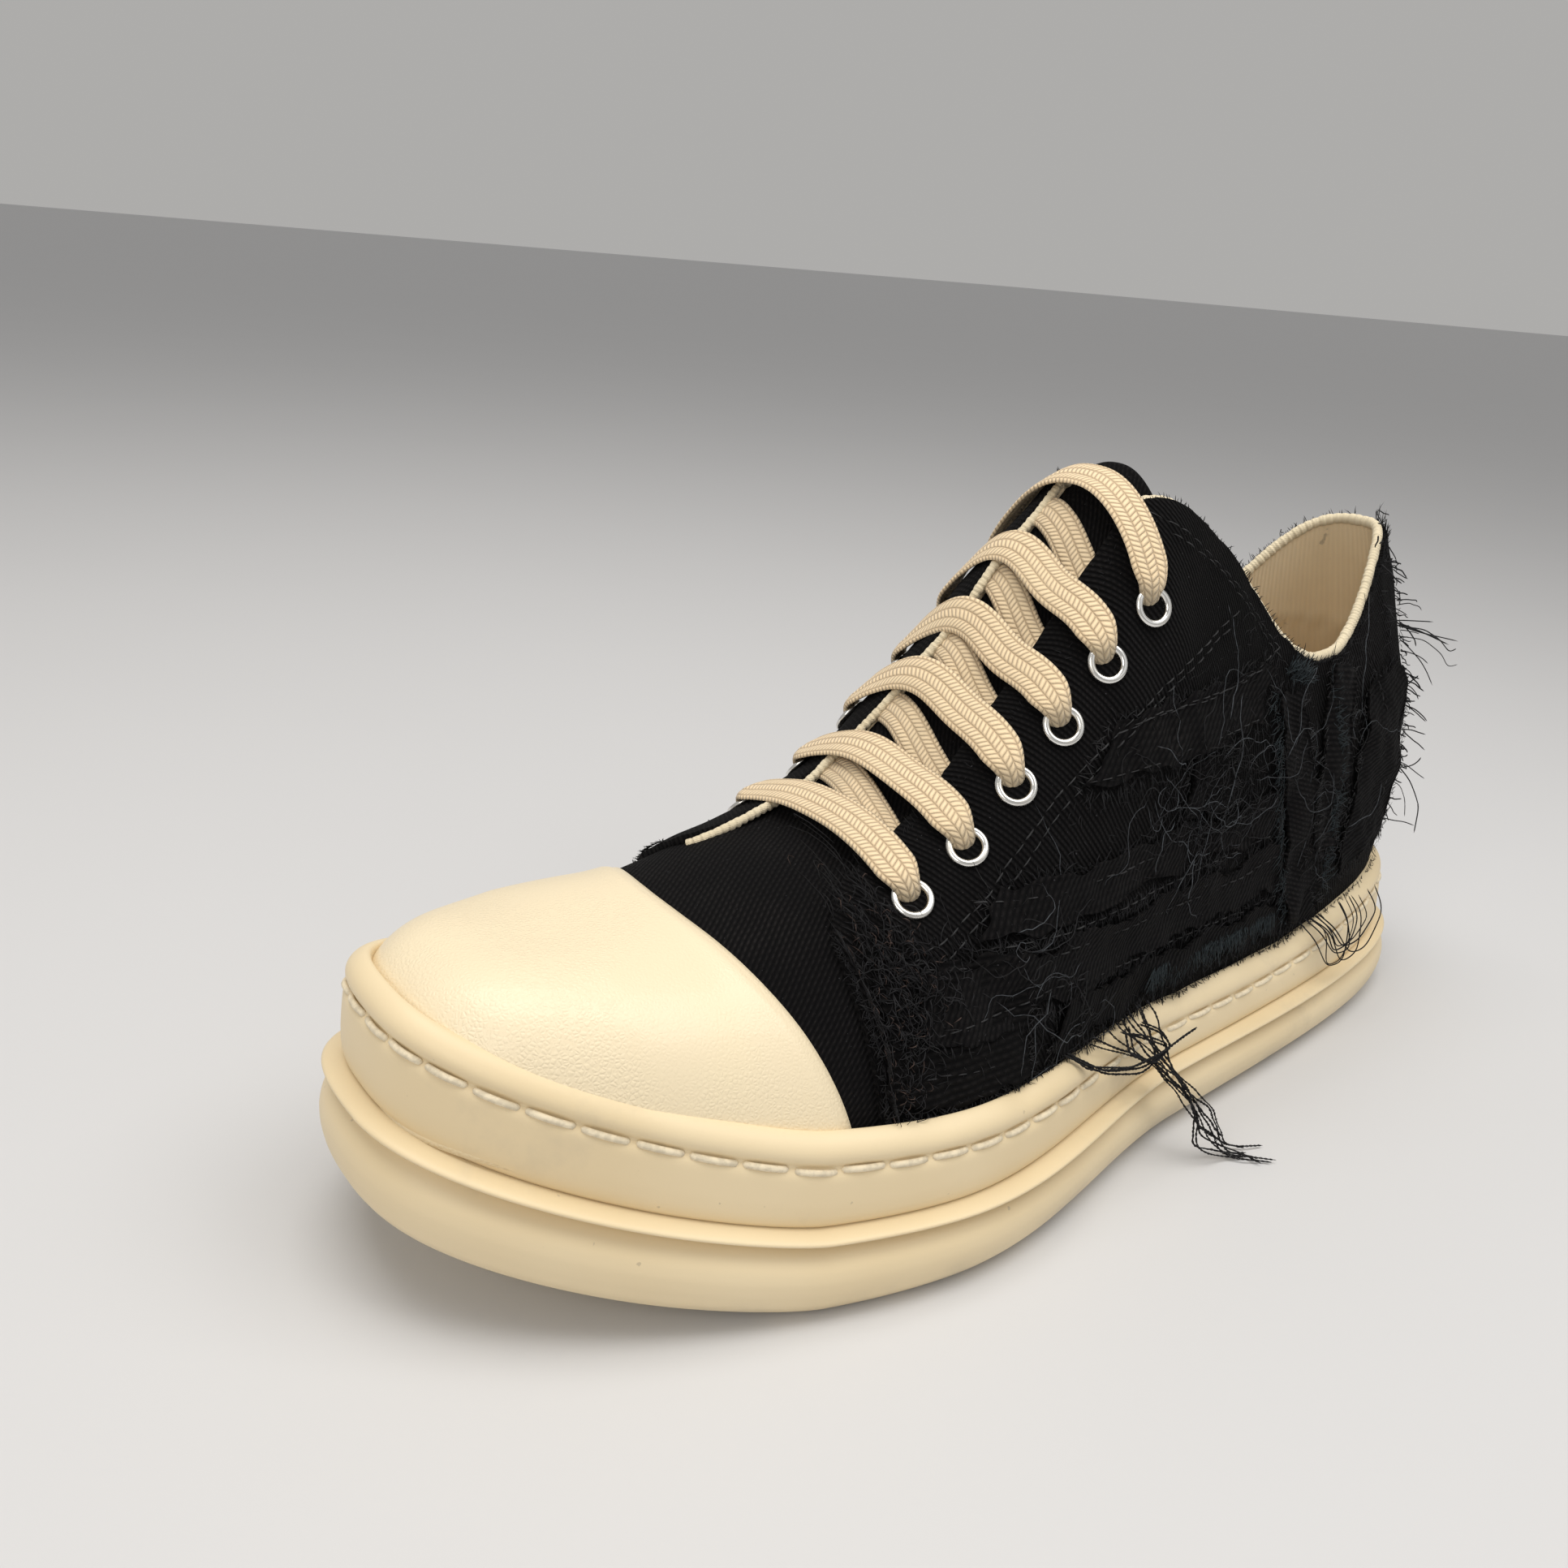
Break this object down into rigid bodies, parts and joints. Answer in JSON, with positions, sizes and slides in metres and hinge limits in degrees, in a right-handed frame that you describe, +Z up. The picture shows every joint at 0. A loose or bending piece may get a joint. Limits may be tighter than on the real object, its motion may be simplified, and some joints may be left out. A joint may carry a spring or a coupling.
{
  "type": "sneaker",
  "caption": "Worn low-cut left sneaker: frayed black canvas upper, cream leather toe cap, flat laces in metal eyelets, deep cream rubber cup sole with a lip round its middle.",
  "frame": {"origin": "middle of the shoe's whole length and width, on the floor", "axes": "+X from heel to toe, +Y to the outer (lateral) side of the left foot, +Z up"},
  "size_m": [0.3072, 0.1116, 0.1462],
  "materials": {
    "sole_rubber": "matt cream moulded rubber, lightly scuffed and dented along the top edge",
    "lining": "cream cotton twill lining, soiled to tan",
    "upper_canvas": "black cotton canvas in frayed patches with loose threads",
    "cap_leather": "smooth cream leather with a fine grain",
    "tongue_canvas": "black diagonal twill",
    "eyelet_metal": "polished rolled nickel ring",
    "lace_cotton": "flat woven cream cotton tape"
  },
  "bodies": {
    "root": {"outsole": "sole_rubber", "foxing": "sole_rubber", "insole": "lining", "upper": "upper_canvas", "toe_cap": "cap_leather", "tongue": "tongue_canvas", "eyelet_lateral_1": "eyelet_metal", "eyelet_lateral_2": "eyelet_metal", "eyelet_lateral_3": "eyelet_metal", "eyelet_lateral_4": "eyelet_metal", "eyelet_lateral_5": "eyelet_metal", "eyelet_lateral_6": "eyelet_metal", "eyelet_medial_1": "eyelet_metal", "eyelet_medial_2": "eyelet_metal", "eyelet_medial_3": "eyelet_metal", "eyelet_medial_4": "eyelet_metal", "eyelet_medial_5": "eyelet_metal", "eyelet_medial_6": "eyelet_metal", "lace_bar_1": "lace_cotton", "lace_bar_2": "lace_cotton", "lace_bar_3": "lace_cotton", "lace_bar_4": "lace_cotton", "lace_bar_5": "lace_cotton", "lace_bar_6": "lace_cotton", "lace_crossing_1": "lace_cotton", "lace_crossing_2": "lace_cotton", "lace_crossing_3": "lace_cotton", "lace_crossing_4": "lace_cotton", "lace_crossing_5": "lace_cotton"}
  },
  "joints": []
}
